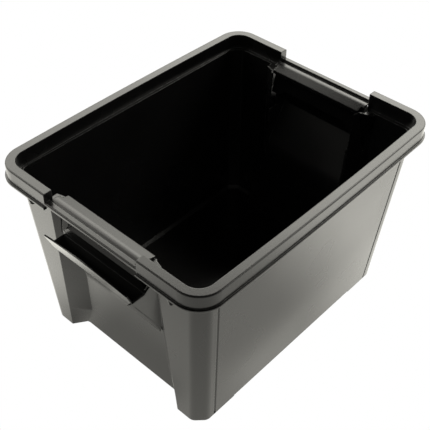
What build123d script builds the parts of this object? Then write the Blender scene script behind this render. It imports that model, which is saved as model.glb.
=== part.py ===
"""Black moulded storage tote with a lowered rim, corner pillars and a scoop grip at each end.

+X runs along the length, +Y across the width and +Z up.  The origin is the centre of the footprint,
on the floor.  All sizes are millimetres.  Every end detail is drawn at -X and repeated at +X, turned
half a turn about the upright axis.
"""
from build123d import *
import os

# ---- tote body ---------------------------------------------------------------------------------
height = 310.0            # floor to rim top
base_length = 430.0       # footprint along X
base_width = 321.5        # footprint along Y
draft = 0.0616            # outward slope of every wall, per unit of height
wall = 2.6                # moulded wall thickness
floor_crease = 5.0        # size of the slope where the walls meet the floor inside
corner_cut = 16.0         # each body corner is cut at 45 degrees by this much ...
corner_round = 13.0       # ... and both new edges are rounded by this radius
foot_height = 2.0         # corner feet under the base
foot_reach = 142.0        # inner end of each foot, along the long side
foot_half = 100.0         # inner side of each foot, from the centre line
groove_inset = 31.0       # upright groove beside each corner, measured from the pillar face
groove_radius = 1.7

# ---- rim ---------------------------------------------------------------------------------------
rim_length = 500.0        # outside of the rim along X
rim_width = 384.0         # outside of the rim along Y, at the corners
rim_bow = 2.9             # how far each long rim side bulges out at mid length
rim_corner = 37.5         # outside corner radius of the rim
rim_top_width = 13.8      # width of the flat top of the rim
rim_round = 2.2           # rounding of the outer top edge
skirt_wall = 2.4          # thickness of the skirt around the outside
skirt_bottom = 285.0      # height of the lower edge of the skirt
bead_height = 3.4         # bead along the lower edge of the skirt
bead_out = 2.6            # how far that bead stands proud
ledge_top = 286.0         # stacking ledge inside, just below the rim
ledge_bottom = 283.4
notch_half = 86.2         # half the length of the lowered stretch of rim at each end
notch_lip = 296.0         # top of the skirt in the lowered stretch
shelf_half = 82.4         # half the length of the full depth grip shelf
shelf_reach = 213.4       # inner edge of the grip shelf, from the centre of the tote
shelf_height = 289.0      # height of its inner edge ...
shelf_slope = 0.27        # ... and how fast it rises from there ...
shelf_crest = 231.5       # ... to its crest
short_reach = 224.0       # inner edge of the shelf beside its full depth part

# ---- recessed end panel and scoop --------------------------------------------------------------
recess_depth = 20.2       # end panel, behind the faces of the corner pillars
recess_half_base = 116.3  # pillar inner edge at the floor, from the centre line
recess_half_rim = 100.6   # the same edge at rim height
panel_half = 79.0         # half width of the end panel, above its wider foot
scoop_half = 80.0         # half width of the scoop that leans out from the panel
bend_height = 138.0       # height where the panel starts to lean out ...
bend_round = 60.0         # ... in a bend of this radius
scoop_front = 250.0       # front of the scoop where its lip starts ...
scoop_height = 220.0      # ... at this height
scoop_top = 232.0         # top edge of the two ends of the scoop
scoop_foot = (-203.4, 138.0)  # where the side edge of the scoop leaves the panel, in (x, z)
cheek_top = 262.0         # height where the cheek at one end meets the pillar edge
cheek_bend = (92.0, 249.3)  # its top edge rises from the scoop end through here ...
cheek_end = (98.2, 264.7)   # ... to here, in (y, z)
cheek_inner = 206.0       # how far in the cheek reaches, from the centre of the tote
lip_front = 263.5         # front of the lip at its ends ...
lip_end_height = 251.5    # ... and the height of its ends
lip_height = 265.0        # height of the lip at its middle
pocket_front = 222.0      # where the opening through the tote wall starts, from the centre
pocket_half = 95.5        # half the length of that opening
pocket_bottom = 218.3     # lower edge of that opening
rib_half = 133.4          # ribs under the rim on the pillar faces, from the centre line
rib_wall = 3.0

# ---- snap-in grip liner ------------------------------------------------------------------------
liner_wall = 2.4
step_front = 231.3        # upright step behind the trough, from the centre of the tote
step_height = 248.0
step_half = 70.0          # half length of the top of the step
step_end = 238.0          # height the step drops to at its ends
step_end_half = 80.0
liner_back = 216.4        # front of its back wall, from the centre of the tote
fit_gap = 0.3             # clearance between the liner and the tote

SIDE = Plane.XZ           # side profiles of the end details are drawn in (x, z)
FRONT = Plane.YZ.offset(-rim_length)  # end views of those details are drawn in (y, z)


def pillar_face(z):
    """Distance of the corner pillars' end face from the centre at height z."""
    return base_length / 2 + draft * z


def side_face(z):
    """Distance of the long walls' outer face from the centre at height z."""
    return base_width / 2 + draft * z


def recess_half(z):
    """Half the gap between the two pillars of one end at height z."""
    return recess_half_base + (recess_half_rim - recess_half_base) * z / height


def body_outline(z, inset=0.0):
    """Plan of the tote body at height z: a rectangle with softened 45 degree corners."""
    with BuildSketch(Plane.XY.offset(z)) as outline:
        Rectangle(2 * (pillar_face(z) - inset), 2 * (side_face(z) - inset))
        chamfer(outline.vertices(), corner_cut - 0.586 * inset)
        fillet(outline.vertices(), corner_round - inset)
    return outline.sketch


def rim_outline(z, inset=0.0):
    """Plan of the rim at height z, with its bowed long sides."""
    half_x = rim_length / 2 - inset
    half_y = rim_width / 2 - inset
    with BuildSketch(Plane.XY.offset(z)) as outline:
        with BuildLine():
            ThreePointArc((-half_x, -half_y), (0, -half_y - rim_bow), (half_x, -half_y))
            Line((half_x, -half_y), (half_x, half_y))
            ThreePointArc((half_x, half_y), (0, half_y + rim_bow), (-half_x, half_y))
            Line((-half_x, half_y), (-half_x, -half_y))
        make_face()
        fillet(outline.vertices(), rim_corner - inset)
    return outline.sketch


def recess_outline(z, inner_half, grow):
    """Plan of one end recess at height z: a trapezium open to -X, grown into the tote by grow."""
    panel = -(pillar_face(z) - recess_depth) + grow
    mouth = recess_half(z)
    slope = (mouth - inner_half) / recess_depth
    reach = 12.0
    outer = mouth + slope * (reach + grow) + 0.7 * grow
    inner = inner_half + 0.7 * grow
    with BuildSketch(Plane.XY.offset(z)) as outline:
        with BuildLine():
            Polyline(
                (panel, inner),
                (-pillar_face(z) - reach, outer),
                (-pillar_face(z) - reach, -outer),
                (panel, -inner),
                close=True,
            )
        make_face()
    return outline.sketch


def recess_block(grow=0.0):
    """The recess between the pillars of one end, as a solid to cut with."""
    # the sides of the recess spread towards the floor
    levels = [(-1.0, 103.0), (44.0, 84.0), (bend_height, panel_half), (ledge_bottom, panel_half)]
    with BuildPart() as block:
        for (low, low_half), (high, high_half) in zip(levels, levels[1:]):
            ends = [recess_outline(low, low_half, grow), recess_outline(high, high_half, grow)]
            loft(sections=ends, ruled=True)
    return block.part


def scoop_rise(z):
    """Distance of the front of the lip from the centre at height z."""
    return scoop_front + (lip_front - scoop_front) * (z - scoop_height) / (lip_end_height - scoop_height)


def scoop_outline(low, back):
    """Outer side view points of the scoop from its foot at height low up to the top of the lip."""
    panel_low = pillar_face(low) - recess_depth - 0.05
    panel_bend = pillar_face(bend_height) - recess_depth
    top_front = scoop_rise(lip_height)
    return [
        (-back, low),
        (-panel_low, low),
        (-panel_bend, bend_height),
        (-scoop_front, scoop_height),
        (-top_front, lip_height),
    ]


def scoop_profile(inset=0.0):
    """Side view of the scoop; inset gives the hollow inside it instead, open at the top."""
    outer = scoop_outline(100.0, 170.0)
    lip_wall = wall * 1.09
    trough_front = scoop_rise(scoop_top) - lip_wall
    with BuildSketch(SIDE) as profile:
        with BuildLine():
            if inset:
                ceiling = ledge_bottom + inset
                Polyline(*outer, (outer[-1][0], ceiling), (-170.0, ceiling), close=True)
            else:
                Polyline(
                    *outer,
                    (outer[-1][0] + lip_wall, lip_height),
                    (-trough_front, scoop_top),
                    (-step_front, scoop_top),
                    (-step_front, step_end),
                    (-pocket_front, step_end + 7.0),
                    (-170.0, step_end + 7.0),
                    close=True,
                )
        make_face()
        bend = profile.vertices().sort_by_distance((outer[2][0], outer[2][1]))[0]
        fillet(bend, bend_round)
        shoulder = profile.vertices().sort_by_distance((outer[3][0], outer[3][1]))[0]
        fillet(shoulder, 25.0)
        if inset:
            offset(amount=-inset, kind=Kind.INTERSECTION)
    return profile.sketch


def scoop_block(inset=0.0):
    """The scoop that leans out from the end panel, as a solid, or its hollow when inset is given."""
    with BuildPart() as block:
        extrude(scoop_profile(inset), amount=scoop_half - inset, both=True)
    return block.part


def lip_trim():
    """What is cut off above the arched top of the lip."""
    with BuildPart() as block:
        with BuildSketch(FRONT):
            with BuildLine():
                ThreePointArc((-scoop_half, lip_end_height), (0, lip_height), (scoop_half, lip_end_height))
                Polyline(
                    (scoop_half, lip_end_height),
                    (scoop_half + 6.0, lip_end_height),
                    (scoop_half + 6.0, ledge_bottom),
                    (-scoop_half - 6.0, ledge_bottom),
                    (-scoop_half - 6.0, lip_end_height),
                    (-scoop_half, lip_end_height),
                )
            make_face()
        extrude(amount=rim_length - scoop_front)
    return block.part


def cheek_block(inset=0.0):
    """The cheek that closes the scoop to the pillar at its -Y end, or its hollow when inset is given."""
    foot = Vector(scoop_foot[0], -scoop_half, scoop_foot[1])
    corner = Vector(-scoop_rise(scoop_top), -scoop_half, scoop_top)
    edge = Vector(-pillar_face(cheek_top), -recess_half(cheek_top), cheek_top)
    facing = (edge - foot).cross(corner - foot).normalized()
    front = Plane(origin=foot, z_dir=facing).offset(-inset)
    with BuildPart() as block:
        with BuildSketch(FRONT):
            with BuildLine():
                Polyline(
                    (-scoop_half + 3.0, 120.0),
                    (-scoop_half + 3.0, scoop_top),
                    (-scoop_half, scoop_top),
                    (-cheek_bend[0], cheek_bend[1]),
                    (-cheek_end[0], cheek_end[1]),
                    (-recess_half(0.0), cheek_end[1]),
                    (-recess_half(0.0), 120.0),
                    close=True,
                )
            make_face()
            if inset:
                offset(amount=-inset, kind=Kind.INTERSECTION)
        extrude(amount=rim_length - cheek_inner + 2 * inset)
        split(bisect_by=front, keep=Keep.BOTTOM)
    return block.part


def pocket_cut(gap=0.0):
    """The opening through the tote wall behind one scoop; gap makes it smaller."""
    closed_end = scoop_half + liner_wall + fit_gap
    open_end = pocket_half + 4.5
    behind_liner = -liner_back + liner_wall + 0.5
    with BuildPart() as block:
        with BuildSketch(Plane.XY.offset(pocket_bottom + gap)):
            with BuildLine():
                Polyline(
                    (-pocket_front, -closed_end),
                    (-pocket_front + 35.0, -closed_end),
                    (-pocket_front + 35.0, scoop_half),
                    (behind_liner, scoop_half),
                    (behind_liner, scoop_half + 2.6),
                    (-pocket_front + 1.5, open_end),
                    (-pocket_front, open_end),
                    close=True,
                )
            make_face()
            if gap:
                offset(amount=-gap, kind=Kind.INTERSECTION)
        extrude(amount=ledge_bottom - pocket_bottom - gap)
    return block.part


def shelf_solid(reach, half):
    """The rolled edge and sloping grip shelf of the lowered rim, out to the given reach and half length."""
    inner = shelf_height + shelf_slope * (reach - shelf_reach)
    crest = shelf_height + shelf_slope * (shelf_crest - shelf_reach)
    with BuildPart() as shelf:
        with BuildSketch(SIDE) as profile:
            with BuildLine():
                Polyline((-241.0, 290.4), (-249.4, 290.4), (-250.0, 291.0), (-250.0, notch_lip - 2.6))
                RadiusArc((-250.0, notch_lip - 2.6), (-247.4, notch_lip), 2.6)
                Polyline(
                    (-247.4, notch_lip),
                    (-241.2, notch_lip),
                    (-240.6, 292.4),
                    (-shelf_crest, crest),
                    (-reach, inner),
                    (-reach, ledge_bottom),
                    (-reach - wall, ledge_bottom),
                    (-reach - wall, inner - wall + 0.8),
                    (-shelf_crest, crest - wall),
                    (-241.0, 290.4),
                )
            make_face()
            fillet(profile.vertices().sort_by_distance((-shelf_crest, crest))[0], 18.0)
        extrude(amount=half, both=True)
    return shelf.part


def step_solid(shrink=0.0):
    """The step that stands up behind the trough, its two ends sloping down."""
    with BuildPart() as step:
        with BuildSketch(SIDE):
            with BuildLine():
                Polyline(
                    (-step_front, scoop_top - 20.0),
                    (-step_front, scoop_top),
                    (-step_front + 0.7, step_height),
                    (-liner_back, step_height + 11.0),
                    (-liner_back + 30.0, step_height + 11.0),
                    (-liner_back + 30.0, scoop_top - 20.0),
                    close=True,
                )
            make_face()
            if shrink:
                offset(amount=-shrink, kind=Kind.INTERSECTION)
        extrude(amount=rim_width / 2, both=True)
        with BuildSketch(FRONT):
            with BuildLine():
                Polyline(
                    (-step_half + 15.0, step_height + 15.0),
                    (step_half - 15.0, step_height + 15.0),
                    (step_end_half, step_end),
                    (step_end_half, scoop_top - 20.0),
                    (-step_end_half, scoop_top - 20.0),
                    (-step_end_half, step_end),
                    close=True,
                )
            make_face()
            if shrink:
                offset(amount=-shrink, kind=Kind.INTERSECTION)
        extrude(amount=rim_length, mode=Mode.INTERSECT)
    return step.part


def pocket_space(grow=0.0):
    """The air in one grip pocket; grow thickens it by the liner wall."""
    with BuildPart() as space:
        # above the trough and its low ledge
        with BuildSketch(SIDE):
            with BuildLine():
                Polyline(
                    (-rim_length, scoop_top),
                    (-step_front, scoop_top),
                    (-step_front, step_end),
                    (-liner_back, step_end + 11.0),
                    (-liner_back - 8.0, ledge_top),
                    (-rim_length, ledge_top),
                    close=True,
                )
            make_face()
            if grow:
                offset(amount=grow, kind=Kind.INTERSECTION)
        extrude(amount=scoop_half + grow, both=True)
        add(step_solid(grow), mode=Mode.SUBTRACT)
        # deeper corner beside the open end of the scoop, closed by a slanted facet
        with BuildSketch(Plane.XY.offset(pocket_bottom + fit_gap + liner_wall - grow)):
            with BuildLine():
                Polyline(
                    (-rim_length, scoop_half),
                    (-liner_back, scoop_half),
                    (-liner_back, scoop_half + 0.5),
                    (-pocket_front, pocket_half),
                    (-rim_length, 4 * pocket_half),
                    close=True,
                )
            make_face()
            if grow:
                offset(amount=grow, kind=Kind.INTERSECTION)
        extrude(amount=rim_length)
    return space.part


def hollow_block(inset):
    """The inside of the tote below its ledge, held off the outer faces by inset."""
    floor_top = foot_height + inset
    with BuildPart() as hollow:
        low = body_outline(floor_top, inset + floor_crease)
        middle = body_outline(floor_top + floor_crease, inset)
        high = body_outline(ledge_top, inset)
        loft(sections=[low, middle], ruled=True)
        loft(sections=[middle, high], ruled=True)
        recess = recess_block(inset)
        add(recess, mode=Mode.SUBTRACT)
        add(mirror(recess, about=Plane.YZ), mode=Mode.SUBTRACT)
        for opened in (scoop_block(inset), cheek_block(inset), pocket_cut(inset - wall)):
            add(opened)
            add(opened, rotation=(0, 0, 180))
    return hollow.part


# ---- tote ----------------------------------------------------------------------------------------
with BuildPart() as notch_cut:
    # what one end loses around the lowered stretch of rim
    with BuildSketch(SIDE):
        with BuildLine():
            Polyline(
                (-260.0, skirt_bottom - 1.0),
                (-rim_length / 2 + skirt_wall, skirt_bottom - 1.0),
                (-rim_length / 2 + skirt_wall, ledge_top),
                (-short_reach - 2.0, ledge_top),
                (-short_reach - 2.0, height + 1.0),
                (-260.0, height + 1.0),
                close=True,
            )
        make_face()
    extrude(amount=notch_half, both=True)

with BuildPart() as end_details:
    # what one end adds to the rim: shelf, its short ends and the two closed ends of the rim channel
    add(shelf_solid(shelf_reach, shelf_half))
    add(shelf_solid(short_reach, notch_half + 1.0))
    with BuildSketch(Plane.XY.offset(skirt_bottom + 1.0)):
        with Locations((-243.0, notch_half + skirt_wall / 2), (-243.0, -notch_half - skirt_wall / 2)):
            Rectangle(12.0, skirt_wall)
    extrude(amount=height - skirt_bottom - 2.5)

    # roof of the grip pocket, level with the ledge
    with BuildSketch(Plane.XY.offset(ledge_bottom)):
        with BuildLine():
            Polyline(
                (-pillar_face(ledge_top) + 1.0, pocket_half + 4.0),
                (-pocket_front + 2.4, pocket_half + 4.0),
                (-liner_back + 2.4, scoop_half + 1.0),
                (-liner_back + 2.4, -scoop_half - 1.0),
                (-pocket_front + 2.4, -pocket_half - 4.0),
                (-pillar_face(ledge_top) + 1.0, -pocket_half - 4.0),
                close=True,
            )
        make_face()
    extrude(amount=ledge_top - ledge_bottom)

    # ribs between the pillar faces and the rim channel
    for side in (-1, 1):
        with BuildSketch(SIDE.offset(-side * rib_half - rib_wall / 2)):
            with BuildLine():
                Polyline(
                    (-pillar_face(256.0) + 1.0, 256.0),
                    (-240.0, 259.5),
                    (-242.0, 262.0),
                    (-248.0, ledge_top),
                    (-248.0, height - wall / 2),
                    (-237.5, height - wall / 2),
                    (-237.5, ledge_top),
                    (-pillar_face(ledge_top) + 1.0, ledge_top),
                    close=True,
                )
            make_face()
        extrude(amount=rib_wall)

with BuildPart() as tub:
    # outer walls, then the recess and the scoop at both ends
    loft(sections=[body_outline(0.0), body_outline(ledge_top)], ruled=True)
    end_recess = recess_block()
    add(end_recess, mode=Mode.SUBTRACT)
    add(mirror(end_recess, about=Plane.YZ), mode=Mode.SUBTRACT)
    for added in (scoop_block(), cheek_block()):
        add(added)
        add(added, rotation=(0, 0, 180))

    # inside of the tote and of both scoops
    add(hollow_block(wall), mode=Mode.SUBTRACT)
    end_trim = lip_trim()
    add(end_trim, mode=Mode.SUBTRACT)
    add(mirror(end_trim, about=Plane.YZ), mode=Mode.SUBTRACT)

    # four corner feet are left when the middle of the base is raised
    for length, width in ((2 * foot_reach, base_width + 20), (base_length + 20, 2 * foot_half)):
        with BuildSketch():
            Rectangle(length, width)
        extrude(amount=foot_height, mode=Mode.SUBTRACT)

    # one upright groove beside each corner
    for x_side in (-1, 1):
        for y_side in (-1, 1):
            groove_ends = []
            for z in (foot_height, ledge_bottom - 4.0):
                with BuildSketch(Plane.XY.offset(z)) as groove_end:
                    with Locations((x_side * (pillar_face(z) - groove_inset), y_side * side_face(z))):
                        Circle(groove_radius)
                groove_ends.append(groove_end.sketch)
            loft(sections=groove_ends, ruled=True, mode=Mode.SUBTRACT)

with BuildPart() as rim:
    # solid band, rounded on its outer top edge, then the bead
    extrude(rim_outline(skirt_bottom), amount=height - skirt_bottom)
    fillet(rim.faces().sort_by(Axis.Z)[-1].edges(), rim_round)
    extrude(rim_outline(skirt_bottom, -bead_out), amount=bead_height)
    fillet(rim.faces().sort_by(Axis.Z)[0].outer_wire().edges(), 1.0)

    # channel between the skirt and the collar, open below
    collar_inset = rim_top_width - wall
    with BuildSketch(Plane.XY.offset(skirt_bottom)) as channel:
        add(rim_outline(0.0, skirt_wall))
        add(rim_outline(0.0, collar_inset), mode=Mode.SUBTRACT)
    extrude(amount=height - wall - skirt_bottom, mode=Mode.SUBTRACT)

    # collar down to the ledge, and the ledge itself
    extrude(rim_outline(ledge_bottom, collar_inset), amount=ledge_top - ledge_bottom)
    extrude(rim_outline(ledge_top, rim_top_width), amount=height - ledge_top, mode=Mode.SUBTRACT)
    extrude(body_outline(ledge_bottom, wall), amount=ledge_top - ledge_bottom, mode=Mode.SUBTRACT)

    # lowered stretch and grip shelf at both ends
    add(notch_cut.part, mode=Mode.SUBTRACT)
    add(mirror(notch_cut.part, about=Plane.YZ), mode=Mode.SUBTRACT)
    add(end_details.part)
    add(mirror(end_details.part, about=Plane.YZ))

with BuildPart() as tote:
    add(tub.part)
    add(rim.part)

# ---- grip liners ---------------------------------------------------------------------------------
with BuildPart() as left_liner:
    add(pocket_space(liner_wall))
    add(pocket_space(), mode=Mode.SUBTRACT)
    add(hollow_block(wall + fit_gap), mode=Mode.INTERSECT)
    add(cheek_block(wall), mode=Mode.SUBTRACT)
    split(bisect_by=Plane.XY.offset(ledge_bottom - fit_gap), keep=Keep.BOTTOM)

with BuildPart() as right_liner:
    add(left_liner.part, rotation=(0, 0, 180))

os.makedirs("parts", exist_ok=True)
tote.part.label = "tote"
export_step(tote.part, "parts/tote.step")
left_liner.part.label = "left_grip_liner"
export_step(left_liner.part, "parts/left_grip_liner.step")
right_liner.part.label = "right_grip_liner"
export_step(right_liner.part, "parts/right_grip_liner.step")
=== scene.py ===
import math

import bpy
from mathutils import Matrix, Vector

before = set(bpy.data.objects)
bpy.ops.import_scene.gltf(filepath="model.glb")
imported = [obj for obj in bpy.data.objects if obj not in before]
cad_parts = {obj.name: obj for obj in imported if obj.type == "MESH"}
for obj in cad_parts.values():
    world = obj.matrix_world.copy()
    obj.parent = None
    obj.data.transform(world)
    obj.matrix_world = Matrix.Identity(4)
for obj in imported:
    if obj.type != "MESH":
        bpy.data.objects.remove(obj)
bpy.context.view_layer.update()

# ---- camera: over the near left corner, looking down the length of the tote ----------------------
CAMERA_EYE = Vector((-0.6970, -0.6107, 1.0095))
CAMERA_FORWARD = Vector((0.5512, 0.4919, -0.6739)).normalized()
CAMERA_ROLL = math.radians(1.27)
CAMERA_LENS = 68.84       # millimetres
SENSOR_WIDTH = 36.0

# ---- plastic -------------------------------------------------------------------------------------
FINE_SCALE = 1400         # noise scales: moulded grain ...
STREAK_SCALE = 60         # ... stretches of edge drawn lighter and rougher as a painted highlight ...
SLOW_SCALE = 9            # ... and slow changes of tone and gloss
EDGE_RADIUS = 0.0016      # softening of every edge
GRAIN_DEPTH = 0.0002
PLASTIC_IOR = 1.52

# ---- studio: brightness of the floor and the wall of light, as the gloss of the tote reflects them
LIGHT_TINT = (1.0, 0.982, 0.9, 1.0)
WHITE = (1.0, 1.0, 1.0, 1.0)
FLOOR_HALF = 6.0
GLOW_BASE = 0.87          # floor around the near corner of the tote
GLOW_FAR = 1.35           # what it gains towards the left and towards the far right ...
GLOW_LEFT_Y = (0.06, 0.24)
GLOW_RIGHT_X = (0.02, 0.29)
GLOW_FOOT = 0.42          # ... and right beside the long near wall
GLOW_FOOT_Y = (-0.215, -0.18)
SHADE_SIDE = 0.17         # what it loses a little way out from that wall ...
SHADE_SIDE_Y = (-0.26, -0.225)
SIDE_START_X = (-0.17, -0.08)
SHADE_END = 0.34          # ... and beside the near end
SHADE_END_X = (-0.275, -0.225)
END_START_Y = (-0.13, -0.07)
END_STOP_X = (-0.15, -0.1)
WORLD_TOP = 6.0           # brightness of the wall of light
WORLD_RAMP = (            # (sine of the elevation, share of that brightness)
    (0.0, 0.2), (0.3, 0.2), (0.4, 0.4), (0.5, 0.77), (0.64, 0.98), (0.68, 0.86),
    (0.715, 0.43), (0.75, 0.24), (0.78, 0.04), (0.82, 0.0), (1.0, 0.0),
)
WORLD_AHEAD = (0.746, 0.666, 0.0)     # the way the camera looks, in plan
WORLD_AHEAD_RANGE = (-0.3, 0.45)      # from behind the camera to in front of it
WORLD_BACK = 0.05                     # share left behind the camera
WORLD_RIGHT = (0.6, -0.8, 0.0)        # to the right of the camera
WORLD_RIGHT_RANGE = (-0.25, 0.12)
WORLD_RIGHT_SHARE = (0.88, 1.2)


def add_camera():
    right = CAMERA_FORWARD.cross(Vector((0, 0, 1))).normalized()
    up = right.cross(CAMERA_FORWARD)
    image_right = right * math.cos(CAMERA_ROLL) + up * math.sin(CAMERA_ROLL)
    image_up = up * math.cos(CAMERA_ROLL) - right * math.sin(CAMERA_ROLL)
    data = bpy.data.cameras.new("camera")
    data.lens = CAMERA_LENS
    data.sensor_width = SENSOR_WIDTH
    data.sensor_fit = "HORIZONTAL"
    camera = bpy.data.objects.new("camera", data)
    turn = Matrix((image_right, image_up, -CAMERA_FORWARD)).transposed()
    camera.matrix_world = Matrix.Translation(CAMERA_EYE) @ turn.to_4x4()
    bpy.context.scene.collection.objects.link(camera)
    bpy.context.scene.camera = camera


# ---- node helpers --------------------------------------------------------------------------------
def add_node(tree, kind, sources=(), **values):
    """New shader node; sources are (input, socket or value) pairs, values are its properties."""
    node = tree.nodes.new(kind)
    for key, value in values.items():
        setattr(node, key, value)
    for key, source in sources:
        if isinstance(source, bpy.types.NodeSocket):
            tree.links.new(source, node.inputs[key])
        else:
            node.inputs[key].default_value = source
    return node


def math_node(tree, operation, first, second):
    """Result of one scalar operation."""
    return add_node(tree, "ShaderNodeMath", [(0, first), (1, second)], operation=operation).outputs[0]


def dot_node(tree, first, second):
    node = add_node(tree, "ShaderNodeVectorMath", [(0, first), (1, second)], operation="DOT_PRODUCT")
    return node.outputs["Value"]


def range_node(tree, value, span, result):
    """Value mapped smoothly from the two ends of span to the two ends of result."""
    low, high = span
    to_low, to_high = result
    node = add_node(
        tree, "ShaderNodeMapRange",
        [("Value", value), ("From Min", low), ("From Max", high), ("To Min", to_low), ("To Max", to_high)],
        interpolation_type="SMOOTHSTEP",
    )
    return node.outputs["Result"]


def noise_node(tree, coords, scale, detail):
    node = add_node(tree, "ShaderNodeTexNoise", [("Vector", coords), ("Scale", scale), ("Detail", detail)])
    return node.outputs["Fac"]


def ramp_node(tree, value, stops):
    """Grey ramp through (position, level) stops."""
    node = add_node(tree, "ShaderNodeValToRGB", [("Fac", value)])
    elements = node.color_ramp.elements
    while len(elements) < len(stops):
        elements.new(0.5)
    for element, (position, level) in zip(elements, stops):
        element.position = position
        element.color = (level, level, level, 1)
    return node.outputs["Color"]


def new_material(name):
    material = bpy.data.materials.new(name)
    material.use_nodes = True
    return material, material.node_tree


# ---- materials -----------------------------------------------------------------------------------
def plastic(name, level, roughness, grain, shine):
    """Moulded black plastic: fine grain, slow changes of tone and gloss, softened edges, and stretches of
    edge drawn lighter and rougher as a painted highlight.

    level is the grey of the plastic, grain the strength of its texture and shine its specular level.
    """
    material, tree = new_material(name)
    shader = tree.nodes["Principled BSDF"]
    coords = add_node(tree, "ShaderNodeTexCoord").outputs["Object"]
    fine = noise_node(tree, coords, FINE_SCALE, 3)
    slow = noise_node(tree, coords, SLOW_SCALE, 3)
    streaks = noise_node(tree, coords, STREAK_SCALE, 4)

    # rounded edges, and how close a point is to one
    soft = add_node(tree, "ShaderNodeBevel", [("Radius", EDGE_RADIUS)], samples=8).outputs["Normal"]
    flat = add_node(tree, "ShaderNodeNewGeometry").outputs["Normal"]
    edge = range_node(tree, dot_node(tree, soft, flat), (1.0, 0.9), (0.0, 1.0))
    # painted highlight: stretches of edge lightened in the base colour and roughened, standing in for
    # glints along the rims
    painted_edge_highlight = math_node(tree, "MULTIPLY", edge, range_node(tree, streaks, (0.45, 0.7), (0.0, 1.0)))

    tone = range_node(tree, slow, (0.3, 0.7), (level * 0.8, level * 1.25))
    tone = math_node(tree, "ADD", tone, math_node(tree, "MULTIPLY", painted_edge_highlight, level))
    blue = math_node(tree, "MULTIPLY", tone, 1.04)
    colour = add_node(tree, "ShaderNodeCombineColor", [("Red", tone), ("Green", tone), ("Blue", blue)])
    rough = range_node(tree, slow, (0.3, 0.7), (roughness - 0.02, roughness + 0.03))
    rough = math_node(tree, "ADD", rough, math_node(tree, "MULTIPLY", painted_edge_highlight, 0.08))
    bump = add_node(
        tree, "ShaderNodeBump",
        [("Strength", grain), ("Distance", GRAIN_DEPTH), ("Height", fine), ("Normal", soft)],
    )
    tree.links.new(colour.outputs[0], shader.inputs["Base Color"])
    tree.links.new(rough, shader.inputs["Roughness"])
    tree.links.new(bump.outputs["Normal"], shader.inputs["Normal"])
    shader.inputs["IOR"].default_value = PLASTIC_IOR
    shader.inputs["Specular IOR Level"].default_value = shine
    return material


# ---- studio --------------------------------------------------------------------------------------
def floor_glow(tree):
    """Brightness of the floor in reflections, by place."""
    position = add_node(tree, "ShaderNodeNewGeometry").outputs["Position"]
    place = add_node(tree, "ShaderNodeSeparateXYZ", [(0, position)])
    x, y = place.outputs["X"], place.outputs["Y"]
    left = range_node(tree, y, GLOW_LEFT_Y, (0.0, GLOW_FAR))
    right = range_node(tree, x, GLOW_RIGHT_X, (0.0, GLOW_FAR))
    glow = math_node(tree, "ADD", math_node(tree, "MAXIMUM", left, right), GLOW_BASE)

    # along the long near wall
    along = range_node(tree, x, SIDE_START_X, (0.0, 1.0))
    foot = math_node(tree, "MULTIPLY", along, range_node(tree, y, GLOW_FOOT_Y, (0.0, GLOW_FOOT)))
    beside = math_node(tree, "MULTIPLY", along, range_node(tree, y, SHADE_SIDE_Y, (0.0, SHADE_SIDE)))
    glow = math_node(tree, "ADD", glow, math_node(tree, "SUBTRACT", foot, beside))

    # along the near end
    end = range_node(tree, x, SHADE_END_X, (0.0, SHADE_END))
    end = math_node(tree, "MULTIPLY", end, range_node(tree, y, END_START_Y, (0.0, 1.0)))
    end = math_node(tree, "MULTIPLY", end, range_node(tree, x, END_STOP_X, (1.0, 0.0)))
    return math_node(tree, "SUBTRACT", glow, end)


def floor_material():
    """White to the camera; in reflections darker around the near corner than at the far sides."""
    material, tree = new_material("studio_floor")
    tree.nodes.clear()
    seen = add_node(tree, "ShaderNodeLightPath").outputs["Is Camera Ray"]
    reflected = add_node(
        tree, "ShaderNodeEmission", [("Color", LIGHT_TINT), ("Strength", floor_glow(tree))],
    )
    direct = add_node(tree, "ShaderNodeEmission", [("Color", WHITE), ("Strength", 1.0)])
    shown = add_node(
        tree, "ShaderNodeMixShader", [(0, seen), (1, reflected.outputs[0]), (2, direct.outputs[0])],
    )
    add_node(tree, "ShaderNodeOutputMaterial", [("Surface", shown.outputs[0])])
    return material


def add_floor():
    mesh = bpy.data.meshes.new("studio_floor")
    s = FLOOR_HALF
    mesh.from_pydata([(-s, -s, 0), (s, -s, 0), (s, s, 0), (-s, s, 0)], [], [(0, 1, 2, 3)])
    mesh.materials.append(floor_material())
    floor = bpy.data.objects.new("studio_floor", mesh)
    bpy.context.scene.collection.objects.link(floor)


def add_world():
    """Soft wall of light beyond the far side, dark above and behind the camera."""
    world = bpy.data.worlds.new("studio")
    bpy.context.scene.world = world
    world.use_nodes = True
    tree = world.node_tree
    direction = add_node(tree, "ShaderNodeTexCoord").outputs["Generated"]
    height = add_node(tree, "ShaderNodeSeparateXYZ", [(0, direction)]).outputs["Z"]
    ahead = dot_node(tree, direction, WORLD_AHEAD)
    across = dot_node(tree, direction, WORLD_RIGHT)
    shares = [
        ramp_node(tree, height, WORLD_RAMP),
        range_node(tree, ahead, WORLD_AHEAD_RANGE, (WORLD_BACK, 1.0)),
        range_node(tree, across, WORLD_RIGHT_RANGE, WORLD_RIGHT_SHARE),
    ]
    level = WORLD_TOP
    for share in shares:
        level = math_node(tree, "MULTIPLY", share, level)
    background = tree.nodes["Background"]
    tree.links.new(level, background.inputs["Strength"])
    background.inputs["Color"].default_value = LIGHT_TINT


add_camera()
tote_plastic = plastic("tote_plastic", level=0.006, roughness=0.25, grain=0.12, shine=0.5)
# darker, less glossy copy of the tote plastic for the liner: painted shade of the hand-hold trough
liner_plastic = plastic("liner_plastic", level=0.003, roughness=0.22, grain=0.06, shine=0.22)
for name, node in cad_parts.items():
    for slot in node.material_slots:
        slot.material = liner_plastic if "liner" in name else tote_plastic
add_floor()
add_world()
bpy.context.scene.view_settings.view_transform = "Standard"
